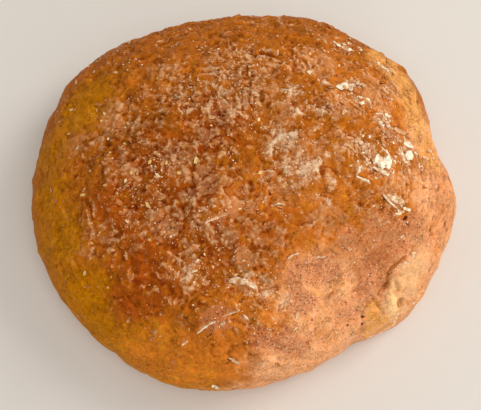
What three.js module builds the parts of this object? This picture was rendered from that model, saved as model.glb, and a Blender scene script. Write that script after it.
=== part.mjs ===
import * as THREE from 'three';
import { SimplexNoise } from 'three/addons/math/SimplexNoise.js';

// A rustic loaf of bread: a ball of dough, shaped by hand into a low oval round and baked standing
// free. Its crown is craggy and flaky, its side is smoother, and at one corner the seam of the
// dough has opened into a soft tuck under the edge of the top crust.
//
// Millimetres, +Z up. The origin is the middle of the flat underside, and +X runs the longest way.

// ---- Driving dimensions ----

const LENGTH = 212; // the plain oval that the outline starts from, the longer way, along X
const DEPTH = 195; // and the shorter way, along Y
const HEIGHT = 66; // from the underside to the crown, before any relief
const BELLY_HEIGHT = 14; // how high the loaf is widest
const SHOULDER_POWER = 2.15; // 2 is a plain ellipse, more is a fuller shoulder
const FOOT_INSET = 6; // how far the edge of the underside stands inside the belly
const FOOT_ANGLE = 72; // degrees that the side turns through from the belly down to the foot

const CRUST_STEP = 3.2; // distance between neighbouring points of the crust
const UNDERSIDE_STEPS = [7, 14, 24, 34]; // and of the underside, from its edge inwards

// The hand-shaped outline leaves the plain oval in a few wide lobes. Each is centred on a
// direction, in degrees from +X towards +Y, and stands out, or in where negative, by some mm.
const OUTLINE_LOBES = [
  { at: 14, halfWidth: 15, out: -11 },
  { at: 22, halfWidth: 26, out: 4.8 },
  { at: 68, halfWidth: 11, out: 3.8 },
  { at: 100, halfWidth: 14, out: -1.2 },
  { at: 143, halfWidth: 19, out: 4.8 },
  { at: 249, halfWidth: 15, out: 2.5 },
  { at: 313, halfWidth: 32, out: -10.1 },
];

// The tuck is a pad of bare dough that swells out under the edge of the top crust.
const TUCK = { at: 321, halfWidth: 12, out: 5.6, footOut: 3.5, bottom: 26, top: 47 };

// ---- Relief, all in millimetres ----

const SWELLS = [
  { size: 68, height: 2.2 },
  { size: 31, height: 1.0 },
];
const SWELL_START = 25; // the swells fade in over this range of heights, so the outline stays
const SWELL_FULL = 48;

const CRAG_SIZE = 11; // how far apart the crags of the crown stand
const CRAG_HEIGHT = 1.5;
const CRAG_SHARPNESS = 1.6;
const LEAF_SIZE = 7; // the finer, flaky unevenness between the crags
const LEAF_HEIGHT = 0.55;

// Bumps and dimples. Each is placed by its direction in degrees and its way down from the crown
// along the crust. It is `round` mm wide around the loaf and `down` mm long down it, measured
// from its middle, and turned by `turn` degrees. `lift` is its height, or its depth where negative.
const BUMPS = [
  { name: 'nose', at: -5, from: 110, round: 9, down: 9, turn: 0, lift: 1.6 },
  { name: 'nub', at: 38, from: 110, round: 5, down: 5, turn: 0, lift: 1.8 },
  { name: 'tuck dimple', at: -41, from: 98, round: 3.4, down: 6, turn: 10, lift: -3.2 },
  { name: 'small tuck dimple', at: -43, from: 107, round: 3, down: 3, turn: 0, lift: -1.2 },
  { name: 'hollow beside the flakes', at: -14, from: 48, round: 20, down: 11, turn: 60, lift: -1.3 },
  { name: 'hollow on the far side', at: 84, from: 55, round: 22, down: 12, turn: 20, lift: -1.0 },
  { name: 'pit', at: -20, from: 79, round: 3.5, down: 3.5, turn: 0, lift: -1.2 },
];

// Large flakes, where the skin of the crust has lifted: flat on top, with a short steep edge.
const FLAKES = [
  { at: 0, from: 66, round: 6.5, down: 6, turn: 20, lift: 1.2 },
  { at: 7, from: 82, round: 5, down: 4, turn: -30, lift: 1.1 },
  { at: 6, from: 97, round: 6, down: 5, turn: 0, lift: 1.2 },
  { at: 39, from: 70, round: 5, down: 9, turn: 55, lift: 1.1 },
  { at: 54, from: 90, round: 5, down: 7, turn: 60, lift: 1.0 },
  { at: -17, from: 73, round: 5, down: 9, turn: -60, lift: 1.2 },
  { at: -90, from: 50, round: 10, down: 5, turn: -10, lift: 0.9 },
  { at: -58, from: 23, round: 7, down: 4, turn: 30, lift: 0.9 },
  { at: -114, from: 25, round: 8, down: 4, turn: -30, lift: 0.8 },
  { at: -119, from: 51, round: 9, down: 5, turn: 25, lift: 0.9 },
  { at: 100, from: 66, round: 11, down: 6, turn: 0, lift: 0.9 },
  { at: 46, from: 38, round: 8, down: 6, turn: 0, lift: 0.8 },
  { at: -7, from: 28, round: 9, down: 6, turn: 40, lift: 0.8 },
];

// Creases and ridges run along a smooth line through points [direction, way down from the crown].
const LINES = [
  {
    name: 'crease at the edge of the top crust, over the tuck',
    route: [[-29, 87], [-34, 83], [-38, 82], [-42, 84], [-45, 83], [-49, 80]],
    halfWidth: 2.6,
    lift: -2.6,
  },
  {
    name: 'lip of the top crust beside that crease',
    route: [[-30, 81], [-35, 77], [-40, 76], [-45, 78], [-49, 75]],
    halfWidth: 4,
    lift: 1.3,
  },
  {
    name: 'valley that leads from the crease to the tuck dimple',
    route: [[-38, 84], [-40, 91], [-41, 97]],
    halfWidth: 2.6,
    lift: -1.4,
  },
  {
    name: 'ridge beside that valley',
    route: [[-41, 86], [-44, 95], [-46, 103], [-47, 112]],
    halfWidth: 3.4,
    lift: 1.3,
  },
  {
    name: 'groove at the near end of the tuck',
    route: [[-45, 84], [-50, 90], [-53, 98], [-55, 108], [-56, 118], [-56, 127]],
    halfWidth: 3.4,
    lift: -1.6,
  },
  {
    name: 'slit in the nose',
    route: [[-3, 106], [-6, 110], [-8, 114]],
    halfWidth: 2.2,
    lift: -1.8,
  },
  {
    name: 'split on the near side',
    route: [[-119, 84], [-121, 89], [-120, 95]],
    halfWidth: 2.2,
    lift: -1.2,
  },
];

// The relief dies out towards the underside, between these two heights, so that the foot is flat.
const RELIEF_START = 1.5;
const RELIEF_FULL = 12;

const CRUST_COLOUR = 0xb8773c;
const CRUST_ROUGHNESS = 0.72;

// ---- Shape of the loaf before any relief ----

const { degToRad, smoothstep, lerp } = THREE.MathUtils;
const MEAN_RADIUS = Math.sqrt(LENGTH * DEPTH) / 2;

// A mulberry-style generator, so that the relief is the same each time.
function seededRandom(seed) {
  let state = seed;
  return {
    random() {
      state = (state + 0x6d2b79f5) | 0;
      let mixed = Math.imul(state ^ (state >>> 15), 1 | state);
      mixed = (mixed + Math.imul(mixed ^ (mixed >>> 7), 61 | mixed)) ^ mixed;
      return ((mixed ^ (mixed >>> 14)) >>> 0) / 4294967296;
    },
  };
}

function angleBetween(first, second) {
  const apart = first - second;
  return Math.atan2(Math.sin(apart), Math.cos(apart));
}

function lobe(azimuth, { at, halfWidth, out }) {
  return out * Math.exp(-((angleBetween(azimuth, degToRad(at)) / degToRad(halfWidth)) ** 2));
}

// The widest outline, as a radius for each direction.
function outlineRadius(azimuth) {
  const a = LENGTH / 2;
  const b = DEPTH / 2;
  const oval = (a * b) / Math.hypot(b * Math.cos(azimuth), a * Math.sin(azimuth));
  return OUTLINE_LOBES.reduce((radius, each) => radius + lobe(azimuth, each), oval);
}

// The tuck moves the side out under the edge of the top crust, and the foot a little further.
function tuckRadius(azimuth, height) {
  const underCrust = 1 - smoothstep(height, TUCK.bottom, TUCK.top);
  const atFoot = 1 - smoothstep(height, 0, BELLY_HEIGHT);
  const footShare = 1 + (TUCK.footOut / TUCK.out) * atFoot;
  return lobe(azimuth, TUCK) * underCrust * footShare;
}

// The side view from the crown down to the edge of the underside: a quarter of a superellipse
// above the belly, and under it the start of a rounder turn, cut off by the flat underside.
class LoafProfile extends THREE.Curve {
  static DOME_SHARE = 0.9; // the share of the parameter that the part above the belly takes

  getPoint(t, target = new THREE.Vector2()) {
    if (t <= LoafProfile.DOME_SHARE) {
      const turn = (t / LoafProfile.DOME_SHARE) * (Math.PI / 2);
      const power = 2 / SHOULDER_POWER;
      const out = Math.sin(turn) ** power;
      const up = Math.max(Math.cos(turn), 0) ** power;
      return target.set(MEAN_RADIUS * out, lerp(BELLY_HEIGHT, HEIGHT, up));
    }
    const fullTurn = degToRad(FOOT_ANGLE);
    const turn = ((t - LoafProfile.DOME_SHARE) / (1 - LoafProfile.DOME_SHARE)) * fullTurn;
    const inward = (FOOT_INSET * (1 - Math.cos(turn))) / (1 - Math.cos(fullTurn));
    const down = Math.sin(turn) / Math.sin(fullTurn);
    return target.set(MEAN_RADIUS - inward, BELLY_HEIGHT * (1 - down));
  }
}

const PROFILE = new LoafProfile();
const PROFILE_LENGTH = PROFILE.getLength();

// A point of the smooth loaf: `side` is a point of the profile, and `azimuth` the direction.
function loafPoint(side, azimuth) {
  const share = side.x / MEAN_RADIUS;
  const radius = share * (outlineRadius(azimuth) + tuckRadius(azimuth, side.y));
  return new THREE.Vector3(radius * Math.cos(azimuth), radius * Math.sin(azimuth), side.y);
}

// The same by a direction in degrees and the way down from the crown along the mean profile.
function onCrust(at, from) {
  return loafPoint(PROFILE.getPointAt(from / PROFILE_LENGTH), degToRad(at));
}

// ---- Relief ----

const noise = new SimplexNoise(seededRandom(11));

function noiseAt(point, size, layer = 0) {
  return noise.noise3d(point.x / size, point.y / size, point.z / size + layer * 19.3);
}

function swells(point) {
  const sum = SWELLS.reduce((all, { size, height }, i) => all + height * noiseAt(point, size, i), 0);
  return sum * smoothstep(point.z, SWELL_START, SWELL_FULL);
}

// The crown and the left shoulder are the craggiest; the side is nearly smooth.
function cragginess(point) {
  const crown = smoothstep(point.z, 20, 46);
  const leftwards = smoothstep(-point.x + 0.4 * point.y, -95, 40);
  return 0.12 + 0.88 * crown * lerp(0.55, 1, leftwards);
}

function crags(point) {
  const ridge = 1 - Math.abs(noiseAt(point, CRAG_SIZE, 3));
  const crag = CRAG_HEIGHT * (ridge ** CRAG_SHARPNESS - 0.5);
  const leaf = LEAF_HEIGHT * noiseAt(point, LEAF_SIZE, 5);
  return (crag + leaf) * cragginess(point);
}

// Gives each bump or flake its middle and its two directions along the crust.
function place(feature) {
  const middle = onCrust(feature.at, feature.from);
  const round = onCrust(feature.at + 1, feature.from).sub(onCrust(feature.at - 1, feature.from));
  const down = onCrust(feature.at, feature.from + 1).sub(onCrust(feature.at, feature.from - 1));
  const outward = down.clone().cross(round).normalize();
  const turn = degToRad(feature.turn);
  const alongRound = round.normalize().applyAxisAngle(outward, turn);
  const alongDown = down.normalize().applyAxisAngle(outward, turn);
  return { ...feature, middle, alongRound, alongDown };
}

// How far out from the feature's middle a point lies: 1 is the feature's own edge.
function reach(point, { middle, alongRound, alongDown, round, down }) {
  const away = point.clone().sub(middle);
  return Math.hypot(away.dot(alongRound) / round, away.dot(alongDown) / down);
}

const placedBumps = BUMPS.map(place);
const placedFlakes = FLAKES.map(place);
const FLAKE_EDGE = 6; // the power that makes a flake flat on top and steep at its edge

function bumps(point) {
  return placedBumps.reduce((sum, each) => sum + each.lift * Math.exp(-(reach(point, each) ** 2)), 0);
}

function flakes(point) {
  const heights = placedFlakes.map((each) => each.lift * Math.exp(-(reach(point, each) ** FLAKE_EDGE)));
  return Math.max(...heights);
}

const LINE_STEPS = 24;

function layLine(line) {
  const curve = new THREE.CatmullRomCurve3(line.route.map(([at, from]) => onCrust(at, from)));
  return { ...line, points: curve.getPoints(LINE_STEPS) };
}

const laidLines = LINES.map(layLine);

function lines(point) {
  let sum = 0;
  for (const { points, halfWidth, lift } of laidLines) {
    const distance = Math.min(...points.map((each) => each.distanceTo(point)));
    sum += lift * Math.exp(-((distance / halfWidth) ** 2));
  }
  return sum;
}

function relief(point) {
  const aboveFoot = smoothstep(point.z, RELIEF_START, RELIEF_FULL);
  return aboveFoot * (swells(point) + crags(point) + bumps(point) + flakes(point) + lines(point));
}

// ---- Mesh: rings of points from the crown to the foot and in under the loaf ----

// Each ring is turned by half a step from the last, which makes the triangles nearly equal-sided.
function makeRing(side, step, index, points) {
  const count = Math.max(6, Math.round((2 * Math.PI * side.x) / step));
  const start = points.length;
  const azimuthOf = (i) => (2 * Math.PI * (i + (index % 2) / 2)) / count;
  for (let i = 0; i < count; i += 1) {
    points.push(loafPoint(side, azimuthOf(i)));
  }
  return { count, azimuthOf, vertex: (i) => start + (i % count) };
}

function makePole(height, points) {
  points.push(new THREE.Vector3(0, 0, height));
  const only = points.length - 1;
  return { count: 0, azimuthOf: () => Infinity, vertex: () => only };
}

// Fills the band between two rings of unequal counts, stepping along whichever is behind.
function stitch(upper, lower, triangles) {
  let i = 0;
  let j = 0;
  while (i < upper.count || j < lower.count) {
    const upperIsBehind = i < upper.count && upper.azimuthOf(i + 1) <= lower.azimuthOf(j + 1);
    if (upperIsBehind || j >= lower.count) {
      triangles.push(upper.vertex(i), lower.vertex(j), upper.vertex(i + 1));
      i += 1;
    } else {
      triangles.push(upper.vertex(i), lower.vertex(j), lower.vertex(j + 1));
      j += 1;
    }
  }
}

function loafGeometry() {
  const points = [];
  const rings = [makePole(HEIGHT, points)];
  const crustRings = Math.round(PROFILE_LENGTH / CRUST_STEP);
  for (let i = 1; i <= crustRings; i += 1) {
    rings.push(makeRing(PROFILE.getPointAt(i / crustRings), CRUST_STEP, i, points));
  }
  let footRadius = MEAN_RADIUS - FOOT_INSET;
  for (const step of UNDERSIDE_STEPS) {
    footRadius -= step / 2;
    rings.push(makeRing(new THREE.Vector2(footRadius, 0), step, rings.length, points));
    footRadius -= step / 2;
  }
  rings.push(makePole(0, points));

  const triangles = [];
  for (let i = 1; i < rings.length; i += 1) {
    stitch(rings[i - 1], rings[i], triangles);
  }
  const geometry = new THREE.BufferGeometry().setFromPoints(points);
  geometry.setIndex(triangles);
  return geometry;
}

// Moves each point of the smooth loaf out along its own normal by the relief there.
function raise(geometry) {
  geometry.computeVertexNormals();
  const { position, normal } = geometry.attributes;
  const point = new THREE.Vector3();
  const outward = new THREE.Vector3();
  for (let i = 0; i < position.count; i += 1) {
    point.fromBufferAttribute(position, i);
    outward.fromBufferAttribute(normal, i);
    const height = relief(point);
    point.addScaledVector(outward, height);
    position.setXYZ(i, point.x, point.y, point.z);
  }
}

// Sets the underside on z = 0 and the middle of the loaf's box over the origin.
function centre(geometry) {
  geometry.computeBoundingBox();
  const { min, max } = geometry.boundingBox;
  geometry.translate(-(min.x + max.x) / 2, -(min.y + max.y) / 2, -min.z);
}

function makeLoaf() {
  const geometry = loafGeometry();
  raise(geometry);
  centre(geometry);
  geometry.computeVertexNormals();
  const crust = new THREE.MeshStandardMaterial({
    color: CRUST_COLOUR,
    roughness: CRUST_ROUGHNESS,
    metalness: 0,
  });
  const loaf = new THREE.Mesh(geometry, crust);
  loaf.name = 'loaf';
  return loaf;
}

const bread = new THREE.Group();
bread.add(makeLoaf());

export default bread;
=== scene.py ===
# %% [markdown]
# # A rustic loaf of bread
#
# This lesson dresses one plain solid as a baked loaf. The solid already has the true size, the
# lopsided outline and the larger crags. What comes here is what the oven and the baker's hands
# leave on the dough: fine cracks and scales, skins of crust that have lifted, bran, flour, and a
# colour that turns from golden at the foot to red-brown and dusty on the crown.
#
# Lengths are written in millimetres and multiplied by `MM`, because Blender works in metres.

# %% Load the solid
import math

import bmesh
import bpy
import numpy as np
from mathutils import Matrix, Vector, noise
from mathutils.bvhtree import BVHTree


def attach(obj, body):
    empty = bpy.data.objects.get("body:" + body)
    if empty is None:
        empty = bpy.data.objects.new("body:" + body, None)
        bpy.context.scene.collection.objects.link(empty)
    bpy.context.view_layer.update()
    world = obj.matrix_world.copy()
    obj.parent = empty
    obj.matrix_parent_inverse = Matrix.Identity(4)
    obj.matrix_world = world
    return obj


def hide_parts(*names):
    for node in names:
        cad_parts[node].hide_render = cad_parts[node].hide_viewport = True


MM = 0.001

# Noise vectors start from a random state, so it is set once and every run gives the same loaf.
NOISE_SEED = 11
noise.seed_set(NOISE_SEED)

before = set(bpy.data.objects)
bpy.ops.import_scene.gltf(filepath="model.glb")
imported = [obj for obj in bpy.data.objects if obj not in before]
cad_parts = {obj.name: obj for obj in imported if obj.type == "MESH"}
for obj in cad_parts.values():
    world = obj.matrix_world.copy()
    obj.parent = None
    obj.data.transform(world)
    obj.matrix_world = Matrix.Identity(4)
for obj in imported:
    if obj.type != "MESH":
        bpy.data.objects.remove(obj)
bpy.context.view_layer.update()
loaf_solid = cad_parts["loaf"]
print("the solid has", len(loaf_solid.data.polygons), "triangles")

# %% [markdown]
# ## The camera comes first
#
# The loaf was photographed from steeply above, a little towards its near side. The camera is made
# before anything else, because many flakes and flour marks are placed by where they are seen: a
# line of sight through a pixel of the photograph meets the crust at one point, and that point is
# a real place on the loaf, whichever way it is looked at afterwards.

# %% Camera
PHOTO_WIDTH = 481
PHOTO_HEIGHT = 410
SENSOR_WIDTH = 36.0
FOCAL_LENGTH = 60.0
CAMERA_TARGET = Vector((-1.2, -8.3, 20.0)) * MM
CAMERA_DISTANCE = 395.0 * MM
CAMERA_ELEVATION = math.radians(70.0)

camera_data = bpy.data.cameras.new("camera")
camera_data.sensor_fit = "HORIZONTAL"
camera_data.sensor_width = SENSOR_WIDTH
camera_data.lens = FOCAL_LENGTH
camera = bpy.data.objects.new("camera", camera_data)
bpy.context.collection.objects.link(camera)

towards_camera = Vector((0.0, -math.cos(CAMERA_ELEVATION), math.sin(CAMERA_ELEVATION)))
camera.location = CAMERA_TARGET + towards_camera * CAMERA_DISTANCE
camera.rotation_euler = (math.pi / 2 - CAMERA_ELEVATION, 0.0, 0.0)
bpy.context.scene.camera = camera
bpy.context.view_layer.update()


def sight_line(px, py):
    """The direction from the camera through a pixel of the photograph."""
    half_width = SENSOR_WIDTH / 2 / FOCAL_LENGTH
    x = (px / PHOTO_WIDTH * 2 - 1) * half_width
    y = (1 - py / PHOTO_HEIGHT * 2) * half_width * PHOTO_HEIGHT / PHOTO_WIDTH
    return (camera.matrix_world.to_3x3() @ Vector((x, y, -1.0))).normalized()


print("the camera stands", round(camera.location.z / MM), "mm above the table")

# %% [markdown]
# ## A finer crust
#
# The solid's triangles are 3 mm across, which is too coarse for flaky crust. A copy of its mesh
# has its doubled points merged, so that it is one closed skin again, and every edge is cut in
# four. The new points lie on the old flat triangles, so a few rounds of smoothing round them off.
# Moving the points of a real mesh was chosen over displacement in the material, because
# displacement would not survive an export, and the cracks should be there in the geometry.

# %% Cut and smooth a copy of the solid
CUTS_PER_EDGE = 3
SMOOTHING_ROUNDS = 6
SMOOTHING = 0.5
DOUBLES_DISTANCE = 0.001 * MM
UNDERSIDE_UNTIL = 0.5 * MM


def fine_copy(solid):
    """A closed copy of the solid's mesh with every edge cut in four and the facets smoothed."""
    bm = bmesh.new()
    bm.from_mesh(solid.data)
    bmesh.ops.remove_doubles(bm, verts=bm.verts, dist=DOUBLES_DISTANCE)
    bmesh.ops.subdivide_edges(bm, edges=bm.edges, cuts=CUTS_PER_EDGE, use_grid_fill=True)
    above_table = [v for v in bm.verts if v.co.z > UNDERSIDE_UNTIL]
    for _ in range(SMOOTHING_ROUNDS):
        bmesh.ops.smooth_vert(
            bm,
            verts=above_table,
            factor=SMOOTHING,
            use_axis_x=True,
            use_axis_y=True,
            use_axis_z=True,
        )
    bmesh.ops.triangulate(bm, faces=bm.faces)
    bm.normal_update()
    mesh = bpy.data.meshes.new("crust")
    bm.to_mesh(mesh)
    bm.free()
    return mesh


crust_mesh = fine_copy(loaf_solid)
print("the fine crust has", len(crust_mesh.polygons), "triangles")

# %% [markdown]
# ## Measuring the crust
#
# The points and normals are taken into arrays, in millimetres, so that a rule for the relief or
# for the flour can be written once for all of them. Two search trees find the nearest or the
# first-hit face: one of the smooth crust, whose normals are steady, and later one of the finished
# crust, on which the flakes and specks stand.

# %% Arrays and helpers
def mesh_points(mesh):
    """The mesh's points as rows of an array, in millimetres."""
    flat = np.empty(len(mesh.vertices) * 3)
    mesh.vertices.foreach_get("co", flat)
    return flat.reshape(-1, 3) / MM


def mesh_normals(mesh):
    """The outward direction at each of the mesh's points."""
    flat = np.empty(len(mesh.vertices) * 3)
    mesh.vertices.foreach_get("normal", flat)
    return flat.reshape(-1, 3)


def tree_of(mesh):
    """A search tree of the mesh's faces."""
    bm = bmesh.new()
    bm.from_mesh(mesh)
    tree = BVHTree.FromBMesh(bm)
    bm.free()
    return tree


def smoothstep(low, high, value):
    """0 below `low`, 1 above `high`, and smooth between."""
    share = np.clip((value - low) / (high - low), 0.0, 1.0)
    return share * share * (3.0 - 2.0 * share)


def seen_at(px, py, tree):
    """The point of the crust that the photograph shows at a pixel, in metres."""
    hit = tree.ray_cast(camera.location, sight_line(px, py))[0]
    if hit is None:
        raise ValueError(f"no crust is seen at {px}, {py}")
    return hit


smooth_tree = tree_of(crust_mesh)
points = mesh_points(crust_mesh)
normals = mesh_normals(crust_mesh)
print("the crown is", round(points[:, 2].max(), 1), "mm above the table")


# %% Noise at every point
LAYER_SHIFT = 37.3
PLATE_LAYER_SHIFT = 23.7
BEND_SCALE = 0.4
BEND = 0.9
RAG_SCALE = 2.3
LEVEL_SPREAD = 31.7
SLOPE_SPREAD = 17.9


def noise_field(size, layer):
    """Smooth noise, about -0.7 to 0.7, whose lumps are `size` mm across."""
    shift = Vector((0.0, 0.0, LAYER_SHIFT * layer))
    return np.array([noise.noise(Vector(point) / size + shift) for point in points])


def plate_field(size, layer, raggedness):
    """For each point, how far inside its plate it lies, the plate's level and its slope.

    The plates are `size` mm across. Wide noise bends them and fine noise makes them ragged. The
    random level and slope are read far apart in the noise, so that neighbours differ.
    """
    shift = Vector((0.0, 0.0, PLATE_LAYER_SHIFT * layer))
    inside = np.empty(len(points))
    level = np.empty(len(points))
    slope = np.empty(len(points))
    for i, point in enumerate(points):
        place = Vector(point) / size + shift
        place += noise.noise_vector(place * BEND_SCALE) * BEND
        place += noise.noise_vector(place * RAG_SCALE) * raggedness
        distances, sites = noise.voronoi(place)
        inside[i] = distances[1] - distances[0]
        level[i] = noise.cell(sites[0] * LEVEL_SPREAD) * 2.0 - 1.0
        slope[i] = noise.cell_vector(sites[0] * SLOPE_SPREAD).dot(place - sites[0])
    return inside, level, slope


print("the layers of the noise are", LAYER_SHIFT, "lumps apart")

# %% [markdown]
# ## Where the crust is craggy
#
# The crown and the left shoulder are rough and scaly. The side of the loaf and the pad of bare
# dough at the tuck were shielded from the heat and stayed smooth. One weight from 0 to 1 says how
# craggy each point is, and a second one where the crust broke up into crumbs, which it did in
# patches. Both the relief and the colours use them.

# %% Places seen on the photograph
TUCK_SEEN_AT = [
    (398, 283), (392, 303), (400, 300), (403, 312), (412, 290), (414, 278), (420, 268), (416, 262),
    (407, 270), (390, 318), (381, 322), (372, 330), (388, 308),
]
CRUMBLY_AT = [
    (150, 160), (190, 150), (130, 200), (170, 200), (210, 180), (190, 230), (110, 150), (230, 250),
    (250, 220), (190, 100), (240, 90), (265, 255), (380, 240), (365, 222), (215, 125), (150, 125),
]
GOLDEN_AT = [
    (52, 150), (46, 200), (48, 250), (70, 300), (98, 330), (125, 350), (155, 366), (192, 380),
    (78, 115), (60, 240), (85, 290), (92, 92), (148, 345),
]


def nearness(places, reach):
    """1 at the nearest of the places and falling away over `reach` mm, for each point."""
    near = np.zeros(len(points))
    for place in places:
        apart = np.linalg.norm(points - np.array(place) / MM, axis=1)
        near = np.maximum(near, np.exp(-((apart / reach) ** 2)))
    return near


def seen_near(pixels, reach):
    """1 at the nearest of the places seen at these pixels, falling away over `reach` mm."""
    return nearness([seen_at(px, py, smooth_tree) for px, py in pixels], reach)


tuck = seen_near(TUCK_SEEN_AT, 5.5)
print("points in the tuck:", int((tuck > 0.5).sum()))

# %% Zones of the crust
# Each pair says between which heights or distances, in mm, a zone fades in.
FOOT = (1.0, 8.0)
SHOULDER = (18.0, 42.0)
SIDE_OF_LOAF = (18.0, 40.0)
LEFT_HALF = (-95.0, 40.0)
LEFT_EDGE = (-20.0, 60.0)

height = points[:, 2]
off_the_foot = smoothstep(*FOOT, height)
crown = smoothstep(*SHOULDER, height)
side = 1.0 - smoothstep(*SIDE_OF_LOAF, height)
leftward = smoothstep(*LEFT_HALF, -points[:, 0] + 0.4 * points[:, 1])
turned_left = smoothstep(*LEFT_EDGE, -points[:, 0] - 0.3 * points[:, 1])
golden = np.maximum(seen_near(GOLDEN_AT, 20.0), 0.95 * side * turned_left)
craggy = crown * (0.5 + 0.5 * leftward) * (1.0 - 0.9 * tuck) * (1.0 - 0.6 * golden)
crumbly = 0.15 + 0.75 * seen_near(CRUMBLY_AT, 12.0) + 0.7 * noise_field(11.0, 10)
crumbly = np.clip(crumbly, 0.0, 1.0)
print("craggy share of the points:", round(float((craggy > 0.5).mean()), 2))

# %% [markdown]
# ## Fine relief
#
# A bubbly dough skin dries and tears into little plates, and each ends up a touch higher, lower
# or more tilted than its neighbours, like shingles. A Voronoi pattern is made of such plates: the
# distance to the border gives the cracks, and a random level and slope for each cell give the
# steps. The pattern is bent by noise first, so that no border stays straight. Two sizes of plate
# are added up, in millimetres, with the absolute value of a noise on top of them: it has a sharp
# valley wherever the noise passes zero, so it looks like pebbles pressed together. The smooth
# places only get the soft waves of the dough.

# %% Plates and leaves
LARGE_PLATE = 8.5
SMALL_PLATE = 3.6
large_inside, large_level, large_slope = plate_field(LARGE_PLATE, 1, 0.45)
small_inside, small_level, small_slope = plate_field(SMALL_PLATE, 2, 0.5)

large_steps = (0.5 * large_level + 1.2 * large_slope) * smoothstep(0.0, 0.2, large_inside)
large_cracks = -0.3 * (1.0 - smoothstep(0.0, 0.12, large_inside))
small_steps = (0.24 * small_level + 0.5 * small_slope) * smoothstep(0.0, 0.25, small_inside)
small_cracks = -0.12 * (1.0 - smoothstep(0.0, 0.2, small_inside))
pebbles = 1.2 * np.abs(noise_field(5.8, 3)) + 0.8 * np.abs(noise_field(2.9, 9)) - 0.35
lumps = (pebbles + 0.35 * noise_field(1.7, 4)) * (0.25 + 0.85 * crumbly)
dough = 0.75 * noise_field(15.0, 5) + 0.7 * noise_field(7.0, 6) + 0.3 * noise_field(2.6, 7)

plates = large_steps + large_cracks + small_steps + small_cracks + lumps
relief = plates * craggy + dough * (1.0 - 0.3 * craggy) * (1.0 - 0.75 * tuck)
print("plates stand between", round(plates.min(), 2), "and", round(plates.max(), 2), "mm")

# %% [markdown]
# ## Wrinkled places
#
# At the right and at the upper right the skin slid down the shoulder while it set, and it lies in
# wrinkles that run along the rim. Noise that is stretched around the loaf and folded at its middle
# value gives sharp crests with rounded valleys between them, which is what wrinkles are.

# %% Wrinkles
WRINKLED_AT = [
    (345, 50), (375, 75), (395, 90), (383, 118), (352, 150), (370, 168), (392, 172), (405, 150),
    (398, 205), (425, 165), (415, 195), (340, 92), (300, 60), (420, 120), (432, 215), (405, 105),
]
WRINKLE_SPACING = 3.0
WRINKLE_LENGTH = 13.0
LOAF_RADIUS = 100.0
NEARER_SIDE_RATIO = 0.93


def wrinkle_field():
    """Crests from 0 to 1 that run around the loaf, for each point."""
    crests = np.empty(len(points))
    for i, (x, y, z) in enumerate(points):
        around = math.atan2(y, x) * LOAF_RADIUS
        outwards = math.hypot(x, y / NEARER_SIDE_RATIO) - z
        place = Vector((around / WRINKLE_LENGTH, outwards / WRINKLE_SPACING, 0.0))
        place += noise.noise_vector(place * 0.7) * 0.6
        crests[i] = 1.0 - min(1.0, 2.6 * abs(noise.noise(place)))
    return crests


wrinkled = seen_near(WRINKLED_AT, 10.0)
wrinkle_crests = wrinkle_field()
relief += 0.7 * wrinkled * (wrinkle_crests**1.5 - 0.25)
print("wrinkled share of the points:", round(float((wrinkled > 0.4).mean()), 2))

# %% [markdown]
# ## Creases that were seen
#
# Some lines are not random: the crease where the top crust ends over the tuck, its dimple, and
# the slits at the pointed side. Each is a route of pixels, laid on the crust by lines of sight,
# and the points near it are pushed in by a groove of the right width and depth. Creases in the
# soft dough get a soft painted shade, while the holes and cracks are painted dark inside as
# shade, so the two kinds are kept apart for the colours.

# %% Routes on the crust
ROUTE_STEP = 0.5


def laid_route(route, tree):
    """Points every half millimetre or so along a route of pixels, laid on the crust, in mm."""
    corners = [np.array(seen_at(px, py, tree)) / MM for px, py in route]
    laid = [corners[0]]
    for start, end in zip(corners, corners[1:]):
        count = max(1, round(float(np.linalg.norm(end - start)) / ROUTE_STEP))
        laid += [start + (end - start) * (i + 1) / count for i in range(count)]
    return np.array(laid)


def distance_to_route(route):
    """How far each point of the crust is from a route of pixels, in mm."""
    laid = laid_route(route, smooth_tree)
    nearest = np.full(len(points), 1e9)
    for place in laid:
        nearest = np.minimum(nearest, np.linalg.norm(points - place, axis=1))
    return nearest


def along_routes(lines):
    """How deep or high the strongest of several lines (route, half width, depth) is, in mm."""
    strongest = np.zeros(len(points))
    for route, half_width, depth in lines.values():
        profile = depth * np.exp(-((distance_to_route(route) / half_width) ** 2))
        strongest = np.maximum(strongest, profile)
    return strongest


print("a route is laid out every", ROUTE_STEP, "mm")

# %% Creases and lips of the soft dough
# Each line holds a route of pixels, half the width and the depth or height, in mm.
SOFT_CREASES = {
    "edge of the top crust": (
        [(405, 258), (400, 262), (394, 266.5), (388.5, 273), (387.3, 281), (385, 286), (379, 292.5)],
        0.95, 1.7,
    ),
    "border of the pad": (
        [(379, 292.5), (371, 295), (367, 298), (367.5, 306), (362, 316), (363, 325), (361.5, 334)],
        0.9, 0.7,
    ),
    "groove beside the ridge": ([(374, 298), (376.5, 303), (380, 307.5), (385, 313.5)], 1.2, 0.9),
    "valley in the tuck": ([(393.5, 277), (396, 283), (398.5, 290)], 1.2, 0.8),
    "dimple": ([(401, 302), (402, 304)], 1.7, 1.2),
    "edge of the dimple": ([(402.5, 299.3), (399.3, 300.6), (398, 303.5), (398.6, 307)], 0.8, 1.5),
    "small dimple": ([(398.5, 316.5), (399, 317.5)], 1.1, 0.8),
    "crevice beside the flakes": ([(411, 173), (413, 186), (417, 196)], 1.2, 0.5),
    "fold on the near right": ([(326, 283), (327, 295), (325, 308)], 1.5, 0.7),
    "fold beside it": ([(301, 285), (300, 294)], 1.4, 0.6),
    "long fold under them": ([(296, 306), (305, 318), (303, 333)], 1.6, 0.6),
}
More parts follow.
